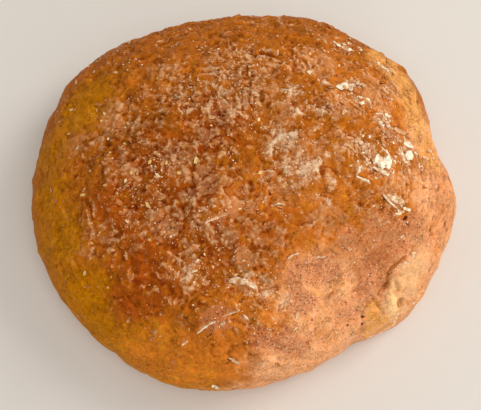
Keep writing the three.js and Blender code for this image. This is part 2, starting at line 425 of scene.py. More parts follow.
LIPS = {
    "lip of the top crust": (
        [(401, 254), (391, 261.5), (384, 271), (382.5, 281), (378, 287.5), (371, 290.5)], 1.8, 1.0,
    ),
    "ridge of the tuck": ([(389, 282), (389.5, 290), (391, 299), (393.5, 309)], 2.7, 1.6),
    "rim beside the ridge": ([(396.5, 311), (393.5, 319), (391, 325)], 1.0, 0.6),
    "far side of the crease": ([(411, 260), (402, 268), (396, 275)], 1.6, 0.6),
    "bulge of the pad": ([(404, 284), (411, 275), (417, 268)], 4.0, 0.9),
    "crust beside the pad": ([(362, 298), (363, 306), (357, 316), (358, 326)], 1.6, 0.5),
}
soft_creased = along_routes(SOFT_CREASES)
relief += along_routes(LIPS) - soft_creased
print("the deepest soft crease is", round(soft_creased.max(), 2), "mm")

# %% Holes and cracks
DARK_CREASES = {
    "slit in the nose": ([(450, 196), (451, 199)], 0.7, 0.5),
    "slit above the nose": ([(438, 175), (439.5, 178)], 0.7, 0.45),
    "hole by the flakes": ([(405, 218), (405.6, 218.5)], 1.0, 1.3),
    "second hole": ([(407, 223), (408, 224)], 0.8, 0.9),
    "crack under the plate": ([(371.5, 160), (375, 165), (381, 168), (387, 169.5)], 0.6, 0.7),
    "gap by the bright end": ([(404.3, 206.2), (406.2, 207.4)], 0.75, 0.8),
    "pinhole": ([(407.5, 184.4), (407.8, 184.8)], 0.7, 0.7),
    "pinhole in the crown": ([(270, 193.5), (270.4, 194)], 0.8, 0.8),
    "pit in the crown": ([(331, 193.5), (334, 194)], 0.8, 0.5),
    "pit by the pad": ([(363, 317.8), (363.2, 318.2)], 0.75, 1.1),
    "second pit by the pad": ([(362.4, 325.4), (362.6, 326)], 0.75, 1.1),
    "third pit by the pad": ([(348.2, 325.6), (348.6, 326)], 0.75, 0.9),
    "crack near the top": ([(219, 53), (227, 50), (236, 50), (244, 48)], 0.7, 0.6),
    "crack on the near side": ([(145, 332), (146, 336), (147, 341)], 0.6, 0.45),
    "crack in the flour": ([(299, 161), (303, 159), (306, 159.5), (311, 163), (314, 162)], 0.6, 0.5),
}

dark_creased = along_routes(DARK_CREASES)
relief -= np.maximum(dark_creased - soft_creased, 0.0)
print("the deepest hole is", round(dark_creased.max(), 2), "mm")

# %% Move the points and rebuild the tree
relief *= off_the_foot
crust_points = points + normals * relief[:, None]
crust_mesh.vertices.foreach_set("co", (crust_points * MM).ravel())
crust_mesh.update()
crust_tree = tree_of(crust_mesh)
print("moved", len(crust_points), "points")

# %% [markdown]
# ## What stands out and what lies in a gap
#
# The baker's flour reaches what stands out and misses the hollows between, and the colour is
# painted lighter on what stands out and darker in the hollows, as painted light and shade. For each
# point, the relief is compared with the average relief around it, which takes a few rounds of
# sharing between neighbours along the edges. The result drives both the painted light and shade
# and the dust.

# %% Compare each point with its surroundings
NEIGHBOUR_ROUNDS = 8
RAISED_LIMIT = 2.0

edge_ends = np.empty(len(crust_mesh.edges) * 2, dtype=np.int32)
crust_mesh.edges.foreach_get("vertices", edge_ends)
edge_starts, edge_stops = edge_ends.reshape(-1, 2).T
neighbour_count = np.bincount(edge_ends, minlength=len(points))


def shared_out(values, rounds):
    """The values after each point has been averaged with its neighbours several times."""
    for _ in range(rounds):
        total = np.bincount(edge_starts, values[edge_stops], len(points))
        total += np.bincount(edge_stops, values[edge_starts], len(points))
        values = 0.5 * values + 0.5 * total / neighbour_count
    return values


raised = relief - shared_out(relief, NEIGHBOUR_ROUNDS)
raised = np.clip(raised / raised[craggy > 0.5].std(), -RAISED_LIMIT, RAISED_LIMIT)
print("points in a gap:", int((raised < -1.0).sum()))

# %% [markdown]
# ## Weights for the colours
#
# The oven colours a loaf unevenly. The weights below say where it is golden, where red-brown and
# where pale peach, and where flour lies. They are kept on the mesh as attributes, one number for
# each point, so that a material can mix its colours by them.

# %% Places of each colour
RED_AT = [
    (150, 160), (120, 210), (190, 190), (160, 240), (210, 130), (250, 210), (230, 240), (140, 290),
    (150, 270), (270, 245),
]
SPECKLED_AT = [
    (262, 340), (280, 343), (298, 346), (302, 304), (298, 274), (314, 272), (330, 268), (344, 314),
    (405, 232), (375, 287), (368, 292), (383, 280), (349, 316), (390, 232), (378, 225), (372, 240),
    (386, 240), (396, 250), (401, 238), (381, 262), (366, 264), (350, 240), (215, 320), (412, 228),
]
PEACH_AT = [
    (430, 145), (440, 200), (430, 245), (415, 280), (388, 318), (350, 338), (320, 325), (310, 350),
    (350, 298), (286, 366), (318, 291), (340, 295),
]
RIM_STRIP_AT = [(384, 60), (400, 78), (409, 95), (416, 115), (424, 135), (430, 152)]
PAD_FOOT_AT = [(373, 306), (373, 316), (372, 328), (381, 322), (371, 334), (381, 330), (390, 325)]
NOSE_AT = [(445, 195), (441, 212), (436, 232)]
LIGHTER_AT = [
    (362, 216), (362, 235), (385, 105), (352, 76), (335, 205), (400, 128), (392, 178), (245, 340),
    (225, 350), (300, 325), (350, 225), (290, 258), (270, 300), (250, 315), (350, 260), (378, 232),
    (372, 250), (392, 258), (248, 196), (270, 318), (262, 290), (168, 352), (190, 370), (228, 366),
    (150, 360),
]
HAZY_AT = [
    (215, 70), (245, 60), (190, 95), (225, 100), (285, 110), (300, 140), (205, 130), (150, 132),
    (110, 120), (195, 205), (290, 180), (320, 150), (350, 150), (260, 90), (170, 75), (245, 262),
    (190, 262), (95, 235), (320, 60), (130, 170), (235, 208), (222, 225), (352, 250), (370, 225),
    (320, 215), (385, 245), (340, 100), (375, 100), (400, 185), (200, 170), (172, 150), (260, 70),
    (275, 235), (160, 215), (80, 130), (66, 140), (262, 238), (208, 90), (210, 185),
]
RIGHT_EDGE = (20.0, 85.0)

red = seen_near(RED_AT, 22.0)
speckled = seen_near(SPECKLED_AT, 6.0)
turned_right = smoothstep(*RIGHT_EDGE, 0.8 * points[:, 0] - 0.6 * points[:, 1])
peach = np.maximum(seen_near(PEACH_AT, 20.0), side * turned_right)
rim_strip = seen_near(RIM_STRIP_AT, 11.0)
hazy = seen_near(HAZY_AT, 12.0)
lighter = seen_near(LIGHTER_AT, 16.0)
print("peach share of the points:", round(float((peach > 0.5).mean()), 2))

# %% Places of the flour
# Each line holds pixel x, pixel y, the reach in mm and the strength of one patch.
FLOUR_PATCHES = [
    (299, 110, 4.5, 0.75), (320, 109, 7.0, 0.55), (294, 134, 3.0, 1.0), (282, 140, 8.0, 0.8),
    (271, 149, 4.0, 0.85), (285, 166, 7.0, 0.6), (305, 166, 7.0, 0.85), (314, 165, 4.0, 0.9),
    (328, 154, 2.5, 0.7), (331, 179, 3.5, 0.75), (275, 175, 7.0, 0.45), (298, 182, 6.0, 0.5),
    (188, 272, 7.0, 0.55), (205, 214, 8.0, 0.45), (236, 282, 5.0, 0.6), (252, 286, 6.0, 0.6),
    (283, 300, 7.0, 0.6), (266, 290, 8.0, 0.62), (255, 322, 8.0, 0.36), (278, 322, 7.0, 0.36),
    (225, 78, 17.0, 0.42), (250, 62, 12.0, 0.40), (190, 92, 14.0, 0.35), (292, 89, 6.0, 0.72),
    (388, 70, 5.0, 0.66), (369, 149, 5.0, 0.85), (370, 165, 4.0, 0.75), (405, 172, 5.0, 0.55),
    (240, 105, 14.0, 0.4), (331, 106, 6.0, 0.45), (322, 38, 4.0, 0.5), (383, 168, 6.0, 0.5),
    (398, 201, 4.0, 0.5), (409, 152, 5.5, 0.7), (434, 155, 4.0, 0.5), (384, 120, 6.0, 0.72),
    (360, 142, 6.0, 0.4), (372, 172, 5.0, 0.4), (392, 133, 6.0, 0.62), (390, 92, 7.0, 0.62),
    (342, 46, 7.0, 0.5), (350, 86, 6.0, 0.5), (362, 103, 5.0, 0.5), (380, 65, 6.0, 0.4),
    (418, 178, 6.0, 0.35), (343, 146, 5.0, 0.4), (327, 201, 3.5, 0.6), (324, 82, 3.0, 0.6),
]
FLOURED_FOOT = (1.0, 6.0)


def patches(patch_list):
    """The strongest of several round patches, for each point."""
    strongest = np.zeros(len(points))
    for px, py, reach, strength in patch_list:
        strongest = np.maximum(strongest, strength * seen_near([(px, py)], reach))
    return strongest


flour = np.maximum(patches(FLOUR_PATCHES), 0.5 * (1.0 - smoothstep(*FLOURED_FOOT, height)))
print("floury share of the points:", round(float((flour > 0.5).mean()), 2))


# %% Keep the weights on the mesh
def keep_on_mesh(mesh, name, values):
    """Keeps one number for each point of a mesh, under a name."""
    attribute = mesh.attributes.new(name, "FLOAT", "POINT")
    attribute.data.foreach_set("value", np.asarray(values, dtype=np.float32))


for name, values in {
    "golden": golden,
    "red": red,
    "speckled": speckled,
    "peach": peach,
    "flour": flour,
    "hazy": hazy,
    "craggy": craggy,
    "crumbly": crumbly,
    "lighter": lighter,
    "soft_creased": np.clip(soft_creased, 0.0, 2.0),
    "dark_creased": np.clip(dark_creased, 0.0, 1.0),
    "raised": raised,
    "wrinkled": wrinkled,
    "wrinkle_crests": wrinkle_crests,
    "tuck": tuck,
    "rim_strip": rim_strip,
    "low_side": 1.0 - smoothstep(5.0, 28.0, height),
    "underside": smoothstep(0.3, 0.9, -normals[:, 2]),
    "pad_foot": seen_near(PAD_FOOT_AT, 5.0),
    "nose": seen_near(NOSE_AT, 9.0),
    "tuck_ridge": along_routes({"ridge": LIPS["ridge of the tuck"]}),
}.items():
    keep_on_mesh(crust_mesh, name, values)
print("attributes:", [a.name for a in crust_mesh.attributes])

# %% [markdown]
# ## Shader maths as Python
#
# A procedural material is mostly arithmetic on patterns. `Value` wraps a socket and turns the
# usual operators into Math nodes, and `Recipe.add` puts in any other node: its settings first,
# then its inputs, each a number, a colour or another `Value`.


# %% A value
class Value:
    """An output socket that can be used in an expression; each operator adds one Math node."""

    def __init__(self, recipe, socket):
        self.recipe = recipe
        self.socket = socket

    def maths(self, operation, first, second):
        return self.recipe.add("Math", {"operation": operation}, {0: first, 1: second})

    def __add__(self, other):
        return self.maths("ADD", self, other)

    def __sub__(self, other):
        return self.maths("SUBTRACT", self, other)

    def __rsub__(self, other):
        return self.maths("SUBTRACT", other, self)

    def __mul__(self, other):
        return self.maths("MULTIPLY", self, other)

    __radd__ = __add__
    __rmul__ = __mul__


print("a value can be added, subtracted and multiplied")


# %% A recipe
def set_stops(ramp, stops):
    """Gives a colour ramp its stops, a list of (position, colour)."""
    while len(ramp.elements) < len(stops):
        ramp.elements.new(0.5)
    for element, (position, colour) in zip(ramp.elements, stops):
        element.position = position
        element.color = colour


class Recipe:
    """A new material, built by adding nodes."""

    def __init__(self, name):
        self.material = bpy.data.materials.new(name)
        self.material.use_nodes = True
        self.tree = self.material.node_tree
        self.tree.nodes.clear()
        texture_coordinate = self.tree.nodes.new("ShaderNodeTexCoord")
        place = Value(self, texture_coordinate.outputs["Object"])
        self.place_mm = self.add("VectorMath", {"operation": "SCALE"}, {0: place, "Scale": 1 / MM})

    def add(self, kind, settings=None, inputs=None, output=0):
        node = self.tree.nodes.new("ShaderNode" + kind)
        for key, value in (settings or {}).items():
            if key == "stops":
                set_stops(node.color_ramp, value)
            else:
                setattr(node, key, value)
        for key, value in (inputs or {}).items():
            if isinstance(value, Value):
                self.tree.links.new(value.socket, node.inputs[key])
            else:
                node.inputs[key].default_value = value
        return Value(self, node.outputs[output])

    def grain(self, size, detail=2.0, roughness=0.5, distortion=0.0):
        """Noise from 0 to 1 whose lumps are about `size` mm across."""
        inputs = {
            "Vector": self.place_mm,
            "Scale": 1 / size,
            "Detail": detail,
            "Roughness": roughness,
            "Distortion": distortion,
        }
        return self.add("TexNoise", None, inputs)

    def cells(self, size, output="Distance", warp=0.0):
        """A Voronoi pattern whose cells are about `size` mm across, bent by up to `warp` mm."""
        place = self.place_mm
        if warp:
            noise_inputs = {"Vector": place, "Scale": 1 / size, "Detail": 1.0}
            bend = self.add("TexNoise", None, noise_inputs, "Color")
            factors = {0: bend, 1: (2 * warp,) * 3, 2: place}
            place = self.add("VectorMath", {"operation": "MULTIPLY_ADD"}, factors)
        return self.add("TexVoronoi", None, {"Vector": place, "Scale": 1 / size}, output)

    def cell_number(self, size, warp=0.0):
        """A random number from 0 to 1 for each Voronoi cell."""
        return self.add("RGBToBW", None, {0: self.cells(size, "Color", warp)})

    def weight(self, name):
        """A weight that was kept on the mesh under this name."""
        return self.add("Attribute", {"attribute_name": name}, None, "Fac")

    def step(self, value, low, high):
        """0 below `low`, 1 above `high`, and smooth between."""
        settings = {"interpolation_type": "SMOOTHSTEP"}
        return self.add("MapRange", settings, {"Value": value, "From Min": low, "From Max": high})

    def blend(self, first, second, share, mode="MIX"):
        """Two colours mixed by a share from 0 to 1."""
        settings = {"data_type": "RGBA", "blend_type": mode}
        return self.add("Mix", settings, {0: share, 6: first, 7: second}, 2)

    def ramp(self, value, stops):
        """A value turned into a colour by stops of (position, colour)."""
        return self.add("ValToRGB", {"stops": stops}, {0: value})

    def grey(self, value):
        return self.add("CombineColor", None, {"Red": value, "Green": value, "Blue": value})

    def bump(self, surface_height, distance_mm, strength=1.0):
        inputs = {"Strength": strength, "Distance": distance_mm * MM, "Height": surface_height}
        return self.add("Bump", None, inputs)

    def finish(self, **inputs):
        """Adds the surface shader with these inputs and returns the material."""
        named = {key.replace("_", " "): value for key, value in inputs.items()}
        surface = self.add("BsdfPrincipled", None, named)
        output = self.tree.nodes.new("ShaderNodeOutputMaterial")
        self.tree.links.new(surface.socket, output.inputs["Surface"])
        return self.material


print("a recipe offers:", [name for name in vars(Recipe) if not name.startswith("_")])


# %% Colours as a screen shows them
def colour(red_part, green_part, blue_part):
    """A colour written as it looks on a screen, 0 to 255, turned into the shader's linear light."""
    parts = [part / 255 for part in (red_part, green_part, blue_part)]
    linear = [p / 12.92 if p <= 0.04045 else ((p + 0.055) / 1.055) ** 2.4 for p in parts]
    return (*linear, 1.0)


print("a mid orange-brown is", [round(part, 3) for part in colour(176, 105, 40)])

# %% [markdown]
# ## The crust's finish
#
# From below upwards: the browned dough, golden, red-brown or peach by the weights; a fine relief of
# crumbs, too small for the mesh, which the bump shares and which the colour follows as painted light
# and shade, lighter where a crumb stands out and darker red-brown in the hollows; specks, painted
# glints, and pores painted dark as shade; a pinkish haze of fine flour baked onto whatever stands
# out, with painted glints on the highest points; and whiter flour in the seen patches. Browned crust
# has hardly any blue in it, so its gloss is kept low: a strong white reflection would wash it out.

# %% Base tones of the crust
crust = Recipe("baked_crust")
is_craggy = crust.weight("craggy")
is_tuck = crust.weight("tuck")
is_speckled = crust.weight("speckled")

BROWNED = colour(185, 100, 22)
GOLDEN = colour(196, 119, 0)
RED_BROWN = colour(170, 76, 12)
LIGHT_BROWN = colour(230, 130, 44)
PEACH = colour(246, 174, 118)
BARE_DOUGH = colour(250, 190, 132)
PAD_GOLD = colour(246, 168, 76)
NOSE = colour(214, 122, 70)
RIM_GOLD = colour(240, 168, 90)
RIDGE_CREAM = colour(255, 214, 146)
LOW_SIDE = colour(206, 136, 56)
UNDERSIDE = colour(164, 98, 40)

wide_mottle = crust.grain(26.0, 3.0)
mottle = crust.grain(7.0, 4.0, 0.6)

golden_share = crust.step(crust.weight("golden") + 0.8 * (wide_mottle - 0.5), 0.22, 0.95)
red_share = crust.step(crust.weight("red") + 1.2 * (mottle - 0.5), 0.3, 1.0)
peach_share = crust.step(crust.weight("peach") + 0.8 * (mottle - 0.5), 0.22, 0.8)
dough_share = crust.step(is_tuck + 0.4 * (mottle - 0.5), 0.4, 0.8)
low_share = crust.step(crust.weight("low_side") + 0.5 * (mottle - 0.5), 0.2, 0.9)
print("the shares of the tones take", len(crust.tree.nodes), "nodes")

# %% Mix the base tones
tone = crust.blend(BROWNED, GOLDEN, golden_share)
tone = crust.blend(tone, RED_BROWN, 0.85 * red_share)
tone = crust.blend(tone, LIGHT_BROWN, 0.62 * crust.step(crust.weight("lighter"), 0.1, 0.9))
tone = crust.blend(tone, LOW_SIDE, 0.8 * low_share)
tone = crust.blend(tone, PEACH, peach_share * (1 - 0.12 * crust.weight("low_side")))
tone = crust.blend(tone, RIM_GOLD, 0.85 * crust.step(crust.weight("rim_strip"), 0.2, 0.8))
tone = crust.blend(tone, NOSE, 0.5 * crust.weight("nose"))
tone = crust.blend(tone, BARE_DOUGH, 0.8 * dough_share)
tone = crust.blend(tone, PAD_GOLD, 0.8 * crust.step(crust.weight("pad_foot"), 0.2, 0.9))
tone = crust.blend(tone, RIDGE_CREAM, 0.55 * crust.step(crust.weight("tuck_ridge"), 0.3, 1.0))
tone = crust.blend(tone, UNDERSIDE, 0.8 * crust.weight("underside"))
print("with the base tones:", len(crust.tree.nodes), "nodes")

# %% Patches within the tones
OCHRE = colour(218, 144, 22)
ORANGE = colour(222, 130, 44)
PINK = colour(248, 176, 132)

ochre_patch = crust.step(crust.grain(4.2, 3.0, 0.6, 0.6), 0.52, 0.66)
tone = crust.blend(tone, OCHRE, (0.25 + 0.25 * golden_share) * ochre_patch * (1 - peach_share))
patch_noise = crust.grain(6.5, 3.0, 0.6, 0.8)
orange_patch = crust.step(patch_noise, 0.54, 0.66) * (1 - dough_share)
tone = crust.blend(tone, ORANGE, 0.42 * peach_share * orange_patch)
tone = crust.blend(tone, PINK, 0.5 * peach_share * (1 - crust.step(patch_noise, 0.36, 0.46)))
fold_noise = crust.grain(10.0, 2.0, 0.5, 0.6)
fold_line = crust.add("Math", {"operation": "ABSOLUTE"}, {0: fold_noise - 0.5})
folds = (1 - crust.step(fold_line, 0.0, 0.09)) * crust.step(crust.grain(14.0), 0.44, 0.56)
tone = crust.blend(tone, ORANGE, 0.35 * folds * peach_share * (1 - dough_share))
print("with the patches:", len(crust.tree.nodes), "nodes")

# %% Crumbs, too small for the mesh
GAP_SHADE = colour(152, 44, 6)
SOFT_SHADE = colour(176, 104, 22)
HOLE_SHADE = colour(108, 42, 8)
CRUMB_SIZE = 1.9
FINE_SIZE = 1.2
SKIN_TEXTURE_SIZE = 1.7
GRIT_SIZE = 0.6

crumb = 1 - 1.6 * crust.cells(CRUMB_SIZE, warp=0.9)
fine = crust.grain(FINE_SIZE, 4.0, 0.65)
broken = 0.3 + 0.7 * crust.step(crust.weight("crumbly") + 0.8 * is_speckled, 0.1, 0.9)
crumbs = 0.5 * (crumb - 0.3) + 1.4 * (fine - 0.5)
standing = 0.26 * crust.weight("raised") + crumbs * broken
# What lies below its surroundings is painted darker red-brown: painted shade in the hollows.
painted_gap_shade = crust.step(0 - standing, 0.1, 0.8) * crust.step(is_craggy, 0.0, 0.7)
tone = crust.blend(tone, GAP_SHADE, 0.7 * painted_gap_shade * (1 - 0.8 * peach_share))

# On the wrinkles the crests are painted lighter and the valleys darker, as painted light and shade; the
# haze also gathers on the crests.
ridge_light = crust.weight("wrinkled") * (crust.weight("wrinkle_crests") - 0.4)
skin_texture = (crust.grain(SKIN_TEXTURE_SIZE, 5.0, 0.8) - 0.5) * (1 - 0.7 * is_craggy)
grit = crust.cell_number(GRIT_SIZE) - 0.5
# The brightness mixes random tone from the mottle, the skin texture and the grit with painted light and
# shade: lighter where a crumb stands out, darker where it lies low.
brightness = 1.0 + 0.34 * standing + 0.9 * (mottle - 0.5) + 0.35 * ridge_light
brightness = brightness + (1.5 + 0.6 * golden_share) * skin_texture
brightness = brightness + 0.34 * grit * (1 + 0.9 * peach_share) * (1 - 0.6 * dough_share)
tone = crust.blend(tone, crust.grey(brightness), 1.0, "MULTIPLY")
print("with the crumbs:", len(crust.tree.nodes), "nodes")

# %% Specks, painted glints, wrinkle lines and pores
RED_CRUST = colour(240, 150, 100)
SPECK = colour(146, 56, 14)
PALE_GLINT = colour(255, 206, 166)
DOT_SIZE = 1.25
WRINKLE_SIZE = 3.4
PORE_SIZE = 2.6

dot_kind = crust.cell_number(DOT_SIZE, 0.5)
dots = 1 - crust.step(crust.cells(DOT_SIZE, warp=0.5) + 0.5 * (fine - 0.5), 0.2, 0.4)
speck_region = crust.step(is_speckled + crust.grain(6.0, 3.0, 0.6) - 0.5, 0.16, 0.5)
speck_region = speck_region * (1 - dough_share)
dark_dots = dots * crust.step(dot_kind, 0.5, 0.56) * speck_region
# The pale dots are painted glints.
painted_glints = dots * (1 - crust.step(dot_kind, 0.3, 0.42)) * speck_region
tone = crust.blend(tone, RED_CRUST, 0.5 * speck_region)
tone = crust.blend(tone, SPECK, 0.8 * dark_dots)
tone = crust.blend(tone, PALE_GLINT, 0.8 * painted_glints)

wrinkle_noise = crust.grain(WRINKLE_SIZE, 2.0, 0.5, 1.2)
wrinkle_line = crust.add("Math", {"operation": "ABSOLUTE"}, {0: wrinkle_noise - 0.5})
wrinkle_region = crust.step(crust.grain(8.0, 2.0), 0.48, 0.6) * crust.step(is_craggy, 0.2, 0.7)
wrinkles = (1 - crust.step(wrinkle_line, 0.004, 0.022)) * wrinkle_region
tone = crust.blend(tone, SPECK, 0.5 * wrinkles)

pore_region = crust.step(crust.grain(9.0), 0.46, 0.58) * (0.3 + 0.7 * is_speckled)
pores = (1 - crust.step(crust.cells(PORE_SIZE), 0.08, 0.16)) * pore_region * (1 - 0.6 * peach_share)
# Soft creases are darkened with a painted shade.
tone = crust.blend(tone, SOFT_SHADE, 0.75 * crust.step(crust.weight("soft_creased"), 0.3, 1.5))
# Holes, cracks and pores are painted dark inside, as painted shade.
dark = crust.step(crust.weight("dark_creased"), 0.2, 0.7)
tone = crust.blend(tone, HOLE_SHADE, crust.step(dark + 0.8 * pores, 0.0, 1.0))
print("with the specks and pores:", len(crust.tree.nodes), "nodes")

# %% Baked-on haze and flour
HAZE = colour(213, 149, 99)
VEIL = colour(234, 166, 112)
DUST_AND_GLINT = colour(255, 204, 150)
FLOUR = colour(250, 214, 174)

haze_edge = crust.grain(4.4, 5.0, 0.7)
haze_cloud = crust.grain(18.0, 2.0)
haze_value = 0.3 * standing + 1.9 * (haze_edge - 0.5) + 0.8 * (haze_cloud - 0.5)
haze_value = haze_value + 0.45 * (crust.weight("hazy") - 0.55) + 0.4 * ridge_light
haze_region = crust.step(is_craggy + crust.weight("wrinkled"), 0.15, 0.8)
haze_region = haze_region * (1 - 0.8 * crust.step(crust.weight("golden"), 0.35, 0.95))
haze = crust.step(haze_value, -0.04, 0.2) * haze_region
haze_tone = crust.blend(HAZE, VEIL, crust.step(crust.weight("wrinkled"), 0.2, 0.9))
tone = crust.blend(tone, haze_tone, haze * (0.42 + 0.4 * crust.step(standing, -0.3, 0.5)))
# The highest points get pale dust together with a painted glint.
dust_and_glint_peaks = crust.step(standing + 0.6 * haze, 0.55, 1.3) * haze_region
tone = crust.blend(tone, DUST_AND_GLINT, 0.5 * dust_and_glint_peaks)

patch_value = crust.weight("flour") + 1.2 * (haze_edge - 0.5) + 0.35 * standing
patch = crust.step(patch_value, 0.25, 0.85)
flour_cover = crust.step(standing + 1.4 * (fine - 0.5), -0.45, 0.4)
tone = crust.blend(tone, FLOUR, patch * (0.3 + 0.62 * flour_cover))
print("with the haze and flour:", len(crust.tree.nodes), "nodes")

# %% Gloss and bump of the crust
roughness = 0.44 + 0.22 * crust.step(haze + patch, 0.0, 1.0) + 0.25 * (mottle - 0.5)
roughness = roughness + 0.2 * golden_share
surface_height = 0.8 * crumbs * broken + 0.3 * haze_edge + 0.5 * skin_texture
surface_height = surface_height - 0.5 * pores - 0.35 * wrinkles
crust_material = crust.finish(
    Base_Color=tone,
    Roughness=roughness,
    Specular_IOR_Level=0.1,
    Specular_Tint=(1.0, 0.66, 0.24, 1.0),
    Normal=crust.bump(surface_height, 1.3, 1.0),
)
print("the crust's material has", len(crust.tree.nodes), "nodes")


# %% The crust as an object
def add_piece(name, mesh, material):
    """Makes a mesh a piece of the loaf with its finish, riding on the only body."""
    mesh.materials.clear()
    mesh.materials.append(material)
    piece = bpy.data.objects.new(name, mesh)
    bpy.context.collection.objects.link(piece)
    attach(piece, "root")
    print(name, "has", len(mesh.polygons), "faces")
    return piece


crust_mesh.shade_smooth()
crust_piece = add_piece("crust", crust_mesh, crust_material)
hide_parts("loaf")

# %% [markdown]
# ## Lifted skins
#
# In many places the outermost skin came loose while the loaf grew: papery plates at the right,
# thin peels that look like bright lines, each with its shadow beside it. A painted line would
# cast no shadow, so every skin is a real thin shell. It starts as a grid, its points are laid
# along a route and dropped onto the crust, one long side is lifted, the outline is torn by noise,
# and a solidify gives it its thickness. All skins together are one piece.

# %% Drop a place onto the crust
DROP_FROM = 5.0
CORNER_ROUNDS = 9


def dropped(place, outward):
    """The point of the finished crust that lies straight below a place, in mm."""
    start = Vector(place + outward * DROP_FROM) * MM
    hit = crust_tree.ray_cast(start, Vector(-outward))[0]
    if hit is None:
        hit = crust_tree.find_nearest(Vector(place) * MM)[0]
    return np.array(hit) / MM


def outward_at(place):
    """The outward direction of the smooth crust nearest to a place."""
    return np.array(smooth_tree.find_nearest(Vector(place) * MM)[1])


def softened(laid):
    """The same route with its corners rounded off."""
    for _ in range(CORNER_ROUNDS):
        laid[1:-1] = 0.5 * laid[1:-1] + 0.25 * (laid[:-2] + laid[2:])
    return laid


print("places are dropped from", DROP_FROM, "mm above the crust")

# %% One skin
SKIN_THICKNESS = 0.14
SUNK = 0.18
BROAD_LIFT = 0.12
SKIN_CELL = 0.5
FLAP_WIDTH = 1.7
THIN_SKIN = 1.3
LARGE_TEAR = 1.3
SMALL_TEAR = 0.5
FRAY = 0.6
CRINKLE = 0.9
STREAK = 1.6


class Skin:
    """One loose skin: its route on the crust in mm, its width, its lift and its colour.

    A thin skin gets a flap on its fixed side, which sinks into the crust, so that only its free
    edge stands out. Tears, frays and crinkles are noise over the skin's own surface.
    """

    def __init__(self, laid, width, lift, whiteness, seed):
        self.laid = laid
        self.width = width
        self.lift = abs(lift)
        self.side = math.copysign(1.0, lift)
        self.whiteness = whiteness
        self.seed = seed
        self.length = ROUTE_STEP * (len(laid) - 1)
        self.flap = FLAP_WIDTH if width < THIN_SKIN else 0.0

    def ragged(self, along, free, size, layer):
        """Noise over the skin whose lumps are `size` mm across."""
        place = (along * self.length / size, free * self.width / size, self.seed + layer)
        return noise.noise(Vector(place))

    def frayed(self, along, free):
        """A place along the skin, moved in or out where the two ends are frayed."""
        shift = noise.noise(Vector((free * self.width / FRAY, self.seed, 4.0)))
        return min(max(along + 0.9 * shift * (2 * along - 1) ** 2 / self.length, 0.0), 1.0)

    def middle(self, along):
        """The point of the route at a share of its length, and its direction there."""
        last = len(self.laid) - 1
        before = min(int(along * last), last - 1)
        step = self.laid[before + 1] - self.laid[before]
        forward = self.laid[min(before + 2, last)] - self.laid[max(before - 1, 0)]
        return self.laid[before] + step * (along * last - before), forward

    def offset(self, along, free, torn):
        """How far from the route a point lies, towards the free side; the ends taper."""
        taper = max(0.12, 4.0 * along * (1.0 - along)) ** (0.6 if self.flap else 0.3)
        across = free * (self.width + self.flap) - self.width / 2 - self.flap
        return across * taper * (1.0 + 0.8 * torn)

    def above(self, along, free, torn):
        """How far a point stands off the crust."""
        lifted = self.lift * (free**2.2 * (1.0 + 0.6 * torn) + 0.3 * torn)
        lifted += -SUNK * (1.0 - free) if self.flap else BROAD_LIFT
        return SKIN_THICKNESS + lifted + 0.16 * self.ragged(along, free, CRINKLE, 9.0)

    def paleness(self, along, free):
        """How white a point is; a thin skin is pale at its free edge alone."""
        fade = smoothstep(-1.2, 0.2, free)
        if self.flap:
            fade = 0.15 + 0.85 * smoothstep(0.5, 0.92, free)
        streak = noise.noise(Vector((along * self.length / STREAK, free * 0.7, self.seed + 17.0)))
        return self.whiteness * float(fade) * (1.0 + 0.8 * streak)


print("skins are", SKIN_THICKNESS, "mm thick")


# %% The shell of one skin
def lay_vertex(vert, skin):
    """Moves a grid point, in -0.5 to 0.5 both ways, onto the skin; returns its whiteness."""
    free = 0.5 + vert.co.y * skin.side
    along = vert.co.x + 0.5
    torn = skin.ragged(along, free, LARGE_TEAR, 0.0) + 0.5 * skin.ragged(along, free, SMALL_TEAR, 3.0)
    along = skin.frayed(along, free)
    centre, forward = skin.middle(along)
    outward = outward_at(centre)
    sideways = np.cross(outward, forward)
    sideways *= skin.side / np.linalg.norm(sideways)
    ground = dropped(centre + sideways * skin.offset(along, free, torn), outward)
    vert.co = Vector(ground + outward * skin.above(along, free, torn)) * MM
    return skin.paleness(along, free)


def skin_mesh(skin):
    """The closed shell of a skin."""
    cell = min(SKIN_CELL, skin.length / 8.0)
    bm = bmesh.new()
    white_layer = bm.verts.layers.float.new("whiteness")
    bmesh.ops.create_grid(
        bm,
        x_segments=round(skin.length / cell),
        y_segments=max(3, round((skin.width + skin.flap) / cell)),
        size=0.5,
    )
    for vert in bm.verts:
        vert[white_layer] = lay_vertex(vert, skin)
    bmesh.ops.solidify(bm, geom=bm.faces[:], thickness=SKIN_THICKNESS * MM)
    bmesh.ops.recalc_face_normals(bm, faces=bm.faces[:])
    bmesh.ops.triangulate(bm, faces=bm.faces[:])
    mesh = bpy.data.meshes.new("one_skin")
    bm.to_mesh(mesh)
    bm.free()
    return mesh


print("a skin's faces are", SKIN_CELL, "mm across")

# %% [markdown]
# ## The skins that were seen
#
# Each line holds a route of pixels, a width in millimetres, how far the free side is lifted (to
# the right of the route's direction when negative) and how white the skin is, from 0 for brown
# crust to 1 for cream.

